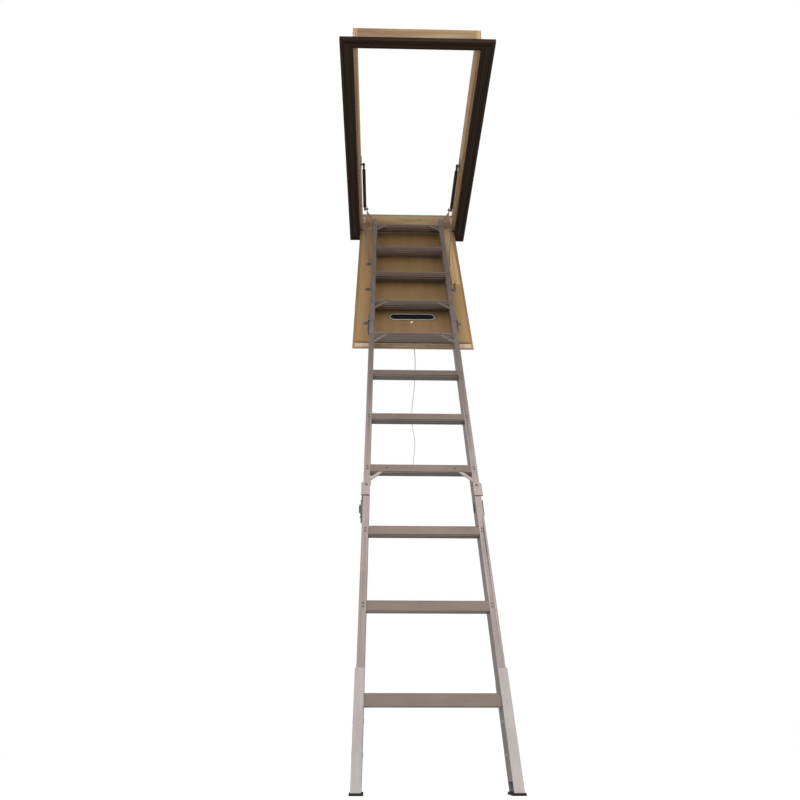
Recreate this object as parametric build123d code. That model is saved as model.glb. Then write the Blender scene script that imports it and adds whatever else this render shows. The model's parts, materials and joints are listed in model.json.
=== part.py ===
from build123d import *
import math
import os

# Folding attic ladder hanging open in its ceiling hatch. Millimetres, +Z up, +X to the climber's right.
# The climber stands on the -Y side; the hatch door hangs from its hinge at the +Y end.
# The floor is Z = 0, and X = Y = 0 is the middle of the object's footprint.

# Driving dimensions
OPEN_ANGLE = 58.9  # ladder slope from the floor, which is also the door's opening angle
FLOOR_TO_HINGE = 2878.0
STEP_PITCH = 304.8
STEP_COUNT = 11
TOP_STEP = 92.7  # top step's front edge, measured down the ladder from the door hinge
FOLD_UPPER = 1200.7
FOLD_LOWER = 2387.0

# Hatch frame and trim
FRAME_WIDTH = 559.0
FRAME_LENGTH = 1337.0
BOARD = 19.0
BOARD_HEIGHT = 100.0
FRAME_DROP = 5.0  # underside of the frame above the hinge axis
TRIM_WIDTH = 57.0
TRIM_THICKNESS = 31.0
TRIM_SET_DOWN = 11.0  # of the trim's back face below the frame; a lip inside reaches up to the frame
TRIM_OVERLAP = 3.0  # of the trim over the frame's outer edge
HINGE_INSET = 5.0  # hinge axis inside the trim's opening
SCREW_SPACING_Y = 1000.0
SCREW_SPACING_Z = 50.0
SCREW_HOLE = 3.5

# Door
DOOR_GAP = 3.0  # at each side
DOOR_END_GAP = 12.0
PANEL = 6.0
CORE = 15.0
CORE_INSET = 14.5
CORE_START = 15.0
CORE_END = 1268.0
PANEL_START = 5.0
PIANO_SEGMENTS = 9
PIANO_LENGTH = 486.0
KNUCKLE = 4.0
PIN = 1.6
FIT = 0.05

# Ladder rails and steps; heights are above the top face of the door's panel
RAIL_INNER = 175.5  # half the clear width between the rails
RAIL_FLANGE = 22.0
RAIL_BACK = 17.0
RAIL_FRONT = 79.0
RAIL_WALL = 2.2
RAIL_TOP = 14.0
RAIL_CUT = 28.0  # height of the rails' lower ends above the floor
SEAM = 3.0
STEP_FACE = 37.0
STEP_TOP = 66.0
STEP_BOTTOM = 52.0
STEP_WALL = 2.0
TREAD_RIB = 1.2
BRACE = 2.5
BRACE_WIDTH = 12.0
BRACE_BOLT = (118.0, 16.0)  # across, and down from the step's front top edge
BRACE_FOOT = 77.5  # down from the same edge, where the strap meets the rail
BRACE_TAB = 24.0
TUCKED_BRACES = (4,)  # steps whose braces start under the face instead of on it
BRACE_TUCK = 3.5
RIVET = 2.4
RIVET_HEAD = 4.6

# Fold hinges
UPPER_OFFSET = 3.0  # pivot in front of the rails
LOWER_OFFSET = 6.0  # pivot behind the rails
LEAF = 3.0
LEAF_REACH = 66.0
EAR = 8.0
FOLD_PIN = 3.0

# Feet
SLEEVE_TOP = 3065.0
SLEEVE_GAP = 0.5
SLEEVE_WALL = 3.0
SHOE = 6.0
SHOE_MARGIN = 3.0
FOOT_BOLTS = (3200.0, 3290.0)
FOOT_DOWN = 100.0
FOOT_UP = 20.0

# Gas struts
STRUT_X = 245.0
STRUT_ANCHOR = (-528.0, 35.0)  # on the frame, from the hinge axis along Y and Z
STRUT_LEVER = (45.0, 148.0)  # on the door, down the ladder and above the panel
STRUT_TUBE = 9.0
STRUT_ROD = 4.0
STUD = 5.0
EYE_WIDTH = 10.0

# Pull cord
CORD = 3.5
CORD_DOWN = 1113.0  # hole's place down the door
CORD_X = -2.0

SIN = math.sin(math.radians(OPEN_ANGLE))
COS = math.cos(math.radians(OPEN_ANGLE))
RAIL_OUTER = RAIL_INNER + RAIL_FLANGE
INNER_WIDTH = FRAME_WIDTH - 2 * BOARD
TRIM_OPENING_LENGTH = FRAME_LENGTH - 2 * TRIM_OVERLAP
TRIM_OPENING_WIDTH = FRAME_WIDTH - 2 * TRIM_OVERLAP
DOOR_END = TRIM_OPENING_LENGTH - HINGE_INSET - DOOR_END_GAP
DOOR_WIDTH = TRIM_OPENING_WIDTH - 2 * DOOR_GAP
SLEEVE_FRONT = RAIL_FRONT + SLEEVE_GAP + SLEEVE_WALL
SLEEVE_BACK = RAIL_BACK - SLEEVE_GAP - SLEEVE_WALL
SLEEVE_OUTER = RAIL_OUTER + SLEEVE_GAP + SLEEVE_WALL

FOOT_END = (FLOOR_TO_HINGE + RAIL_FRONT * COS) / SIN

# Footprint: from the toes of the shoes to the trim's outer edge at the hinge end
FLOOR_CONTACT = FOOT_END * COS + RAIL_FRONT * SIN
SHOE_TOE = FLOOR_CONTACT + (SLEEVE_FRONT - RAIL_FRONT) / SIN + SHOE_MARGIN
TRIM_BACK = HINGE_INSET + TRIM_WIDTH
HINGE_Y = (SHOE_TOE - TRIM_BACK) / 2
HINGE_Z = FLOOR_TO_HINGE

WORLD = Location((0, HINGE_Y, HINGE_Z))
LADDER = Location((0, HINGE_Y, HINGE_Z), (OPEN_ANGLE, 0, 0))
# Frames in use: WORLD has its origin at the hinge axis; LADDER is turned with the open door, so that
# a place "down" the ladder is -Y and a height above the door's panel is +Z.

os.makedirs("parts", exist_ok=True)


def save(name, solids):
    """Write one node: a solid, or a group of separate solids."""
    shape = solids if isinstance(solids, (Part, Solid)) else Compound(children=list(solids))
    export_step(shape, f"parts/{name}.step")


def box(x, y, z):
    """A box from three (low, high) ranges, given in any order."""
    ranges = [sorted(r) for r in (x, y, z)]
    size = [high - low for low, high in ranges]
    middle = [(high + low) / 2 for low, high in ranges]
    return Pos(*middle) * Box(*size)


def bar(x, down, height):
    """A box on the ladder: across, down the ladder and above the door's panel."""
    return box(x, (-down[0], -down[1]), height)


def rod_x(radius, x, y, z):
    """A round bar along X between two places."""
    low, high = sorted(x)
    return Pos((low + high) / 2, y, z) * Rot(0, 90, 0) * Cylinder(radius, high - low)


def side_plate(outline, x):
    """A flat plate across X from an outline in the YZ plane."""
    low, high = sorted(x)
    face = make_face(Plane.YZ.offset(low) * Polyline(*outline, close=True))
    return extrude(face, high - low, dir=(1, 0, 0))


def front_plate(outline, y):
    """A flat plate along Y from an outline in the XZ plane."""
    low, high = sorted(y)
    plane = Plane(origin=(0, low, 0), x_dir=(1, 0, 0), z_dir=(0, -1, 0))
    face = make_face(plane * Polyline(*outline, close=True))
    return extrude(face, high - low, dir=(0, 1, 0))


def on_ladder(shape):
    return LADDER * shape


def in_hatch(shape):
    return WORLD * shape


def sides(build):
    """The left and right copies of a shape, from its builder and a sign."""
    return {"left": build(-1), "right": build(1)}


# ---------------------------------------------------------------- hatch frame


def mitred_trim(x_sign, y_sign):
    """One moulding of the trim, stepped down to its outer edge. One of the signs is zero."""
    lip = (0, 10.0, 0, 17.0)
    main = (0, TRIM_WIDTH, TRIM_SET_DOWN, 17.0)
    steps = (lip, main, (14.0, TRIM_WIDTH, 17.0, 23.0), (44.0, TRIM_WIDTH, 23.0, TRIM_THICKNESS))
    half = (TRIM_OPENING_WIDTH / 2, TRIM_OPENING_LENGTH / 2)
    inner = half[0] if x_sign else half[1]
    other = half[1] if x_sign else half[0]
    reach = other + TRIM_WIDTH
    piece = None
    for near, far, top, bottom in steps:
        layer = box((inner + near, inner + far), (-reach, reach), (-top, -bottom))
        piece = layer if piece is None else piece + layer
    corners = ((inner, -other), (inner, other), (inner + TRIM_WIDTH, reach), (inner + TRIM_WIDTH, -reach))
    piece = piece & Pos(0, 0, -TRIM_THICKNESS) * extrude(
        make_face(Polyline(*corners, close=True)), TRIM_THICKNESS, dir=(0, 0, 1)
    )
    turn = {(1, 0): 0, (0, 1): 90, (-1, 0): 180, (0, -1): 270}[(x_sign, y_sign)]
    middle_y = HINGE_INSET - TRIM_OPENING_LENGTH / 2
    return in_hatch(Pos(0, middle_y, FRAME_DROP) * Rot(0, 0, turn) * piece)


BOARD_Z = (FRAME_DROP, FRAME_DROP + BOARD_HEIGHT)
FRAME_BACK = HINGE_INSET + TRIM_OVERLAP
FRAME_NEAR = FRAME_BACK - FRAME_LENGTH
HINGE_BOARD_FACE = FRAME_BACK - BOARD
NEAR_BOARD_FACE = FRAME_NEAR + BOARD
FRAME_MIDDLE = (FRAME_BACK + FRAME_NEAR) / 2
BOARD_MIDDLE_Z = (BOARD_Z[0] + BOARD_Z[1]) / 2


def screw_places():
    """Where the four mounting holes of a side board lie, along Y and Z."""
    for along in (-SCREW_SPACING_Y / 2, SCREW_SPACING_Y / 2):
        for up in (-SCREW_SPACING_Z / 2, SCREW_SPACING_Z / 2):
            yield FRAME_MIDDLE + along, BOARD_MIDDLE_Z + up


def side_board(sign):
    board = box((sign * INNER_WIDTH / 2, sign * FRAME_WIDTH / 2), (FRAME_NEAR, FRAME_BACK), BOARD_Z)
    for y, z in screw_places():
        board -= rod_x(SCREW_HOLE, (sign * (INNER_WIDTH / 2 - 1), sign * (FRAME_WIDTH / 2 + 1)), y, z)
    return in_hatch(board)


def corner_screws():
    """Countersunk screws that hold the end boards between the side boards."""
    screws = []
    for sign in (-1, 1):
        for y in (FRAME_BACK - BOARD / 2, FRAME_NEAR + BOARD / 2):
            for z in (BOARD_MIDDLE_Z - 28, BOARD_MIDDLE_Z + 28):
                head = rod_x(4.5, (sign * FRAME_WIDTH / 2, sign * (FRAME_WIDTH / 2 + 1.5)), y, z)
                screws.append(in_hatch(head))
    return screws


def hatch_frame():
    for name, board in sides(side_board).items():
        save(f"frame_board_{name}", board)
    across = (-INNER_WIDTH / 2, INNER_WIDTH / 2)
    save("frame_board_hinge_end", in_hatch(box(across, (HINGE_BOARD_FACE, FRAME_BACK), BOARD_Z)))
    save("frame_board_near_end", in_hatch(box(across, (FRAME_NEAR, NEAR_BOARD_FACE), BOARD_Z)))
    tape = 0.8
    lip = 4.0
    top = box(across, (HINGE_BOARD_FACE - tape, FRAME_BACK), (BOARD_Z[1], BOARD_Z[1] + tape))
    fold = box(across, (HINGE_BOARD_FACE - tape, HINGE_BOARD_FACE), (BOARD_Z[1] - lip, BOARD_Z[1] + tape))
    save("frame_edge_tape", in_hatch(top + fold))
    save("frame_screws", corner_screws())
    for name, signs in {"left": (-1, 0), "right": (1, 0), "hinge_end": (0, 1), "near_end": (0, -1)}.items():
        save(f"trim_{name}", mitred_trim(*signs))


# ---------------------------------------------------------------- door hinge


def knuckle_spans():
    """The stretches of the piano hinge, alternately the frame's and the door's."""
    length = PIANO_LENGTH / PIANO_SEGMENTS
    gap = 0.4
    for k in range(PIANO_SEGMENTS):
        start = -PIANO_LENGTH / 2 + k * length
        yield k % 2 == 0, (start + gap / 2, start + length - gap / 2)


def piano_leaf(plate, mine):
    """One leaf of the piano hinge: its plate, its knuckles, and notches for the other leaf's."""
    leaf = plate
    for owned, span in knuckle_spans():
        if owned == mine:
            leaf += rod_x(KNUCKLE, span, 0, 0)
        else:
            leaf -= rod_x(KNUCKLE + 0.4, (span[0] - 0.4, span[1] + 0.4), 0, 0)
    return leaf - rod_x(PIN + FIT, (-PIANO_LENGTH, PIANO_LENGTH), 0, 0)


def door_hinge():
    across = (-PIANO_LENGTH / 2, PIANO_LENGTH / 2)
    on_frame = box(across, (HINGE_BOARD_FACE, -1.5), (FRAME_DROP - 2, FRAME_DROP))
    on_door = bar(across, (1.5, CORE_START - 1), (0, 2))
    save("door_hinge_frame_leaf", in_hatch(piano_leaf(on_frame, True)))
    save("door_hinge_door_leaf", on_ladder(piano_leaf(on_door, False)))
    save("door_hinge_pin", in_hatch(rod_x(PIN, across, 0, 0)))


# ---------------------------------------------------------------- door


def door():
    hole = Pos(CORD_X, -CORD_DOWN, 0) * Cylinder(5.5, 60)
    panel = bar((-DOOR_WIDTH / 2, DOOR_WIDTH / 2), (PANEL_START, DOOR_END), (-PANEL, 0)) - hole
    half = DOOR_WIDTH / 2 - CORE_INSET
    core = bar((-half, half), (CORE_START, CORE_END), (0, CORE)) - hole
    save("door_panel", on_ladder(panel))
    save("door_core", on_ladder(core))
    plate = Pos(2, -1056, CORE) * extrude(fillet(Rectangle(225, 62).vertices(), 30), 1.5)
    save("name_plate", on_ladder(plate))


# ---------------------------------------------------------------- ladder sections


def step_down(number):
    """Place of a step's front top edge down the ladder; step 1 is the lowest."""
    return TOP_STEP + STEP_PITCH * (STEP_COUNT - number)


def level(down):
    """A frame at a place on the rails' front face, level with the floor while the door is open."""
    return LADDER * Pos(0, -down, RAIL_FRONT) * Rot(-OPEN_ANGLE, 0, 0)


def step(number):
    """A hollow extruded step: face along the rails, level tread with ribs, ribbed underside."""
    drop = STEP_FACE * SIN
    front = -STEP_FACE * COS
    outline = ((0, 0), (front, -drop), (front + STEP_BOTTOM, -drop), (STEP_TOP, 0))
    shell = side_plate(outline, (-RAIL_INNER, RAIL_INNER))
    wall = STEP_WALL
    slope = COS / SIN
    rise = drop - 2 * wall
    inside_front = wall / SIN - wall * slope
    hollow = (
        (inside_front, -wall),
        (inside_front - rise * slope, -wall - rise),
        (front + STEP_BOTTOM - 2 * wall, -wall - rise),
        (STEP_TOP - 3 * wall, -wall),
    )
    shell -= side_plate(hollow, (-RAIL_INNER - 1, RAIL_INNER + 1))
    for k in range(6):
        y = 6 + k * 9.5
        shell += box((-RAIL_INNER, RAIL_INNER), (y, y + 2.5), (0, TREAD_RIB))
    for k in range(4):
        y = front + 8 + k * 11
        shell += box((-RAIL_INNER, RAIL_INNER), (y, y + 2.5), (-drop - TREAD_RIB, -drop))
    return level(step_down(number)) * shell


def rail(sign, start, end, steps):
    """A channel open outwards: web inside, flanges at the front and the back, rivet holes in front."""
    inner = sign * RAIL_INNER
    outer = sign * RAIL_OUTER
    web = bar((inner, inner + sign * RAIL_WALL), (start, end), (RAIL_BACK, RAIL_FRONT))
    front = bar((inner, outer), (start, end), (RAIL_FRONT - RAIL_WALL, RAIL_FRONT))
    back = bar((inner, outer), (start, end), (RAIL_BACK, RAIL_BACK + RAIL_WALL))
    channel = web + front + back
    for x, y in rivet_places(sign, steps):
        channel -= Pos(x, y, RAIL_FRONT) * Cylinder(RIVET + FIT, 4 * RAIL_WALL)
    return on_ladder(channel)


def rivet_places(sign, steps):
    """Two rivets in the rail's front flange beside each step."""
    for number in steps:
        for along in (10.0, 23.0):
            yield sign * (RAIL_INNER + 10.0), -(step_down(number) + along)


def rivets(steps):
    """Rivets with domed heads on the rails' front flanges."""
    made = []
    for sign in (-1, 1):
        for x, y in rivet_places(sign, steps):
            shank = Pos(x, y, RAIL_FRONT - RAIL_WALL / 2) * Cylinder(RIVET, RAIL_WALL)
            head = Pos(x, y, RAIL_FRONT + 0.6) * Cone(RIVET_HEAD, RIVET_HEAD * 0.6, 1.2)
            made.append(on_ladder(shank + head))
    return made


def brace_bolts(steps):
    """Bolt heads where the knee braces are fixed to the steps' front faces."""
    made = []
    across, down = BRACE_BOLT
    for number in steps:
        under = RAIL_FRONT if number in TUCKED_BRACES else RAIL_FRONT + BRACE
        for x in (-across, across):
            place = Pos(x, -(step_down(number) + down), under + 1.0)
            made.append(on_ladder(place * Cylinder(3.5, 2.0)))
    return made


def knee_brace(sign, number):
    """A strap from the step's face, outwards and down the ladder, and its tab on the rail's web."""
    tucked = number in TUCKED_BRACES
    front = RAIL_FRONT - BRACE_TUCK if tucked else RAIL_FRONT
    across, down = BRACE_BOLT
    run = RAIL_INNER - across
    fall = BRACE_FOOT - down
    length = math.hypot(run, fall)
    half = BRACE_WIDTH / 2
    end = (across - half * run / length, down - half * fall / length)
    side = (half * fall / length, half * run / length)
    foot = [BRACE_FOOT - half * length / run, BRACE_FOOT + half * length / run]
    outline = [(RAIL_INNER, foot[0]), (end[0] + side[0], end[1] - side[1])]
    outline += [(end[0] - side[0], end[1] + side[1]), (RAIL_INNER, foot[1])]
    top = step_down(number)
    points = [(sign * x, -(top + y)) for x, y in outline]
    face = make_face(Plane.XY.offset(front) * Polyline(*points, close=True))
    strap = extrude(face, BRACE, dir=(0, 0, 1))
    inner = (sign * (RAIL_INNER - BRACE), sign * RAIL_INNER)
    tab = bar(inner, (top + foot[0], top + foot[1]), (RAIL_FRONT - BRACE_TAB, front + BRACE))
    brace = on_ladder(strap + tab)
    if tucked:
        underside = -STEP_FACE * SIN - TREAD_RIB
        brace -= level(top) * box((-200, 200), (-100, 100), (underside, underside + 100))
    return brace


def knee_braces(steps):
    return [knee_brace(sign, number) for number in steps for sign in (-1, 1)]


def floor_cut(height):
    """Everything below a height above the floor."""
    return Pos(0, 0, height - 500) * Box(2000, 6000, 1000)


# ---------------------------------------------------------------- fold hinges


def leaf_pair(fold, height, reach):
    """Both leaves of a fold hinge on each side, and its pins. reach is the leaves' depth range."""
    above, below, pins = [], [], []
    for sign in (-1, 1):
        first = (sign * RAIL_OUTER, sign * (RAIL_OUTER + LEAF))
        second = (sign * (RAIL_OUTER + LEAF + 0.4), sign * (RAIL_OUTER + 2 * LEAF + 0.4))
        bore = rod_x(FOLD_PIN + FIT, (sign * (RAIL_OUTER - 20), sign * (RAIL_OUTER + 20)), -fold, height)
        top = bar(first, (fold - LEAF_REACH, fold - 2), reach) + rod_x(EAR, first, -fold, height)
        plate = bar(second, (fold + 1, fold + LEAF_REACH), reach) + rod_x(EAR, second, -fold, height)
        pad = bar((first[0], second[0]), (fold + EAR + 4, fold + LEAF_REACH), reach)
        above.append(on_ladder(top - bore))
        below.append(on_ladder(plate + pad - bore))
        ends = (sign * (RAIL_OUTER - 0.5), sign * (RAIL_OUTER + 2 * LEAF + 1.5))
        pins.append(on_ladder(rod_x(FOLD_PIN, ends, -fold, height)))
    return above, below, pins


# ---------------------------------------------------------------- sections


UPPER_STEPS = (8, 9, 10, 11)
MIDDLE_STEPS = (4, 5, 6, 7)
LOWER_STEPS = (1, 2, 3)


def sections():
    spans = {
        "upper": (RAIL_TOP, FOLD_UPPER - SEAM / 2, UPPER_STEPS),
        "middle": (FOLD_UPPER + SEAM / 2, FOLD_LOWER - SEAM / 2, MIDDLE_STEPS),
        "lower": (FOLD_LOWER + SEAM / 2, FOOT_END, LOWER_STEPS),
    }
    braced = {"upper": (8, 11), "middle": (4, 7)}
    for section, (start, end, steps) in spans.items():
        riveted = [n for n in steps if n > 1]
        for name, sign in (("left", -1), ("right", 1)):
            channel = rail(sign, start, end, riveted)
            if section == "lower":
                channel = drilled_for_bolts(channel, sign) - floor_cut(RAIL_CUT)
            save(f"{section}_rail_{name}", channel)
        for number in steps:
            save(f"step_{number:02d}", step(number))
        fasteners = rivets(riveted) + brace_bolts(braced.get(section, ()))
        save(f"{section}_rivets", fasteners)
        if section in braced:
            save(f"{section}_knee_braces", knee_braces(braced[section]))


def fold_hinges():
    upper = leaf_pair(FOLD_UPPER, RAIL_FRONT + UPPER_OFFSET, (RAIL_FRONT - 44, RAIL_FRONT - 1))
    lower = leaf_pair(FOLD_LOWER, RAIL_BACK - LOWER_OFFSET, (RAIL_BACK - 3, RAIL_BACK + 44))
    save("upper_fold_top_leaves", upper[0])
    save("upper_fold_bottom_leaves", upper[1])
    save("lower_fold_top_leaves", lower[0])
    save("lower_fold_bottom_leaves", lower[1])
    save("fold_pins", upper[2] + lower[2])


# ---------------------------------------------------------------- feet


def foot_sleeve(sign):
    """A channel open inwards that slides on the rail's lower end, with a long slot for its bolts."""
    span = (SLEEVE_TOP, FOOT_END + 60)
    web = bar((sign * (SLEEVE_OUTER - SLEEVE_WALL), sign * SLEEVE_OUTER), span, (SLEEVE_BACK, SLEEVE_FRONT))
    inner = sign * RAIL_INNER
    front = bar((inner, sign * SLEEVE_OUTER), span, (SLEEVE_FRONT - SLEEVE_WALL, SLEEVE_FRONT))
    back = bar((inner, sign * SLEEVE_OUTER), span, (SLEEVE_BACK, SLEEVE_BACK + SLEEVE_WALL))
    middle = (RAIL_BACK + RAIL_FRONT) / 2
    slot = (FOOT_BOLTS[0] - FOOT_DOWN - 5, FOOT_BOLTS[1] + FOOT_UP + 5)
    cut = bar((sign * (SLEEVE_OUTER - 5), sign * (SLEEVE_OUTER + 1)), slot, (middle - 3.6, middle + 3.6))
    return on_ladder(web + front + back - cut) - floor_cut(SHOE)


def foot_shoe(sign):
    """A rubber pad under the sleeve."""
    toe = HINGE_Y - SHOE_TOE
    depth = SHOE_MARGIN + (SLEEVE_FRONT - SLEEVE_BACK) / SIN + SHOE * COS / SIN + 1
    pad = box((sign * (RAIL_INNER - 4), sign * (SLEEVE_OUTER + 3)), (toe, toe + depth), (0, SHOE))
    return fillet(pad.edges().filter_by(Axis.Z), 5)


def foot_bolt(sign, down):
    """A low-headed bolt through the sleeve's slot and the rail's web, with a thin nut inside."""
    middle = (RAIL_BACK + RAIL_FRONT) / 2
    place = Pos(0, -down, middle)
    shank = rod_x(3.0, (sign * (RAIL_INNER - 1), sign * (SLEEVE_OUTER + 1)), 0, 0)
    head = rod_x(6.5, (sign * (SLEEVE_OUTER + 0.4), sign * (SLEEVE_OUTER + 1.6)), 0, 0)
    nut = Pos(sign * (RAIL_INNER - 1.6), 0, 0) * Rot(0, 90 * sign, 0) * extrude(RegularPolygon(6, 6), 1.6)
    return on_ladder(place * (shank + head + nut))


def drilled_for_bolts(channel, sign):
    """The lower rail's web with its two bolt holes."""
    middle = (RAIL_BACK + RAIL_FRONT) / 2
    for down in FOOT_BOLTS:
        hole = rod_x(3.1, (sign * (RAIL_INNER - 1), sign * (RAIL_INNER + RAIL_WALL + 1)), -down, middle)
        channel -= on_ladder(hole)
    return channel


def feet():
    bolts = []
    for name, sign in (("left", -1), ("right", 1)):
        save(f"foot_sleeve_{name}", foot_sleeve(sign))
        save(f"foot_shoe_{name}", foot_shoe(sign))
        bolts += [foot_bolt(sign, down) for down in FOOT_BOLTS]
    save("foot_bolts", bolts)


# ---------------------------------------------------------------- brackets on the door


def door_bracket(sign, down):
    """An angle that ties the rail to the door."""
    foot = bar((sign * RAIL_OUTER, sign * (RAIL_OUTER + 32)), (down - 11, down + 11), (CORE, CORE + 3))
    ear = bar((sign * RAIL_OUTER, sign * (RAIL_OUTER + 3)), (down - 11, down + 11), (CORE, 52))
    bolt = Pos(sign * (RAIL_OUTER + 20), -down, CORE + 5) * Cylinder(5, 4)
    return on_ladder(foot + ear + bolt)


def top_bracket(sign):
    """A strap from the rail's top end to an upstand at the door's edge."""
    strap = bar((sign * RAIL_OUTER, sign * 249.5), (46, 68), (CORE, CORE + 3))
    upstand = bar((sign * 246.5, sign * 249.5), (20, 68), (CORE, 92))
    return on_ladder(strap + upstand)


def strut_lever(sign):
    """A flat arm bent outwards from the rail's top end to the gas strut's lower end."""
    down, height = STRUT_LEVER
    inner = [(RAIL_OUTER, 30), (RAIL_OUTER, 84), (231.4, 130), (231.4, height + 10)]
    outer = [(235.4, height + 10), (235.4, 128), (RAIL_OUTER + 5, 81), (RAIL_OUTER + 5, 30)]
    outline = [(sign * x, z) for x, z in inner + outer]
    arm = front_plate(outline, (-down - 13, -down + 13))
    stud = rod_x(STUD, (sign * 234, sign * (STRUT_X - EYE_WIDTH / 2 - 0.6)), -down, height)
    return on_ladder(arm + stud)


# A stay rod's route from the upstand to the first door bracket: across, down the door, above its panel
STAY_ROUTE = (
    (244.0, 40.0, 46.0),
    (241.0, 150.0, 51.0),
    (236.0, 244.0, 44.0),
    (222.0, 350.0, 33.0),
    (217.5, 480.0, 21.0),
)


def stay_rod(sign):
    """A thin bent rod."""
    points = [Vector(sign * x, -down, height) for x, down, height in STAY_ROUTE]
    start = Plane(origin=points[0], z_dir=points[1] - points[0])
    return on_ladder(sweep(start * Circle(2.0), FilletPolyline(*points, radius=60.0)))


def door_fittings():
    places = (488.0, 778.0, 1120.0)
    save("door_brackets", [door_bracket(sign, down) for sign in (-1, 1) for down in places])
    save("top_brackets", [top_bracket(sign) for sign in (-1, 1)])
    save("strut_levers", [strut_lever(sign) for sign in (-1, 1)])
    save("stay_rods", [stay_rod(sign) for sign in (-1, 1)])


# ---------------------------------------------------------------- gas struts


def strut_frame():
    """Strut ends from the hinge axis along Y and Z, the strut's length and its slope."""
    down, height = STRUT_LEVER
    lever = (-down * COS - height * SIN, -down * SIN + height * COS)
    dy = lever[0] - STRUT_ANCHOR[0]
    dz = lever[1] - STRUT_ANCHOR[1]
    return math.hypot(dy, dz), math.degrees(math.atan2(dz, dy))


def along_strut(sign, shape):
    """Place a shape made along +Y from the strut's frame end."""
    slope = strut_frame()[1]
    return in_hatch(Pos(sign * STRUT_X, *STRUT_ANCHOR) * Rot(slope, 0, 0) * shape)


def rod_y(radius, start, end):
    return Pos(0, (start + end) / 2, 0) * Rot(90, 0, 0) * Cylinder(radius, end - start)


def strut(sign):
    """The strut's rod, fixed to the frame's stud, and its tube, which ends at the door's lever."""
    length = strut_frame()[0]
    half = EYE_WIDTH / 2
    mouth = 44.0
    eye = rod_x(8.5, (-half, half), 0, 0) + rod_y(5.5, 4, 26)
    eye -= rod_x(STUD + FIT, (-20, 20), 0, 0)
    rod = eye + rod_y(STRUT_ROD, 20, length - 60)
    tube = rod_y(STRUT_TUBE, mouth, length - 22) - rod_y(STRUT_ROD + 0.3, mouth - 1, length - 50)
    socket = rod_x(8.5, (-half, half), length, 0) + rod_y(5.5, length - 24, length - 4)
    return along_strut(sign, rod), along_strut(sign, tube + socket)


def strut_bracket(sign):
    """A steel plate on the side board with the stud that the strut's rod turns on."""
    y, z = STRUT_ANCHOR
    face = INNER_WIDTH / 2
    plate = box((sign * (face - 3), sign * face), (y - 30, y + 30), (z - 20, z + 34))
    stud = rod_x(STUD, (sign * (STRUT_X - EYE_WIDTH / 2 - 2), sign * (face - 2)), y, z)
    return in_hatch(plate + stud)


def gas_struts():
    for name, sign in (("left", -1), ("right", 1)):
        rod, tube = strut(sign)
        save(f"strut_rod_{name}", rod)
        save(f"strut_tube_{name}", tube)
    save("strut_brackets", [strut_bracket(sign) for sign in (-1, 1)])


# ---------------------------------------------------------------- pull cord


# The cord's route from its hole's mouth under the door: X, Y and Z
CORD_ROUTE = (
    (0.0, 0.0, 0.0),
    (0.0, 7.7, -4.64),
    (0.8, 15.9, -15.5),
    (5.2, 22.8, -38.0),
    (12.6, 26.8, -79.0),
    (16.2, 28.0, -130.0),
    (17.2, 27.0, -184.0),
    (15.4, 27.5, -238.0),
    (12.6, 29.0, -290.0),
    (8.0, 28.6, -341.0),
    (2.0, 27.4, -388.0),
    (-0.6, 28.0, -433.0),
    (0.6, 29.0, -478.0),
    (7.2, 28.4, -520.0),
    (13.4, 27.4, -562.0),
    (11.4, 28.0, -605.0),
    (5.6, 28.6, -642.0),
    (5.6, 28.6, -672.0),
)
GROMMET_LIP = 2.0
CORD_GAP = 1.9  # lets the cord swing on its hole's mouth


def cord_mouth():
    """Where the cord leaves its grommet, from the hinge axis."""
    height = -PANEL - GROMMET_LIP - CORD_GAP
    return Vector(CORD_X, -CORD_DOWN * COS - height * SIN, -CORD_DOWN * SIN + height * COS)


def corner_radii(points):
    """Each corner's radius: 0.45 of its shorter run, over the tangent of half the turn."""
    radii = []
    for before, here, after in zip(points, points[1:], points[2:]):
        turn = (here - before).get_angle(after - here)
        run = min((here - before).length, (after - here).length)
        radii.append(0.45 * run / math.tan(math.radians(turn) / 2))
    return radii


def pull_cord():
    points = [cord_mouth() + Vector(*p) for p in CORD_ROUTE]
    radii = corner_radii(points)
    line = FilletPolyline(*points, radius=radii)
    start = Plane(origin=points[0], z_dir=points[1] - points[0])
    cord = sweep(start * Circle(CORD / 2), line)
    print("cord radii", [round(r) for r in radii])
    print("cord length", round(line.length, 1))
    print("cord volume ratio", round(cord.volume / (math.pi * (CORD / 2) ** 2 * line.length), 4))
    save("pull_cord", in_hatch(cord))
    end = points[-1]
    knob = Pos(0, 0, -5.5) * Sphere(5.8) - Pos(0, 0, 5) * Box(12, 12, 10)
    save("cord_knob", in_hatch(Pos(*end) * knob))
    through = Cylinder(5.0, CORE + PANEL, align=(Align.CENTER, Align.CENTER, Align.MIN))
    flange = Cylinder(9.0, GROMMET_LIP, align=(Align.CENTER, Align.CENTER, Align.MAX))
    knot = Pos(0, 0, CORE + PANEL + 3.8) * Sphere(6.5)
    grommet = Pos(CORD_X, -CORD_DOWN, -PANEL) * (through + flange + knot)
    save("cord_grommet", on_ladder(grommet))


hatch_frame()
door_hinge()
door()
sections()
fold_hinges()
feet()
door_fittings()
gas_struts()
pull_cord()
print("hinge axis", round(HINGE_Y, 3), HINGE_Z)
print("feet down the ladder", round(FOOT_END, 2))
print("strut length and slope", [round(v, 3) for v in strut_frame()])
print("cord mouth", cord_mouth())
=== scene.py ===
import json
import math

import bmesh
import bpy
from mathutils import Euler, Matrix, Vector


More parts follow.
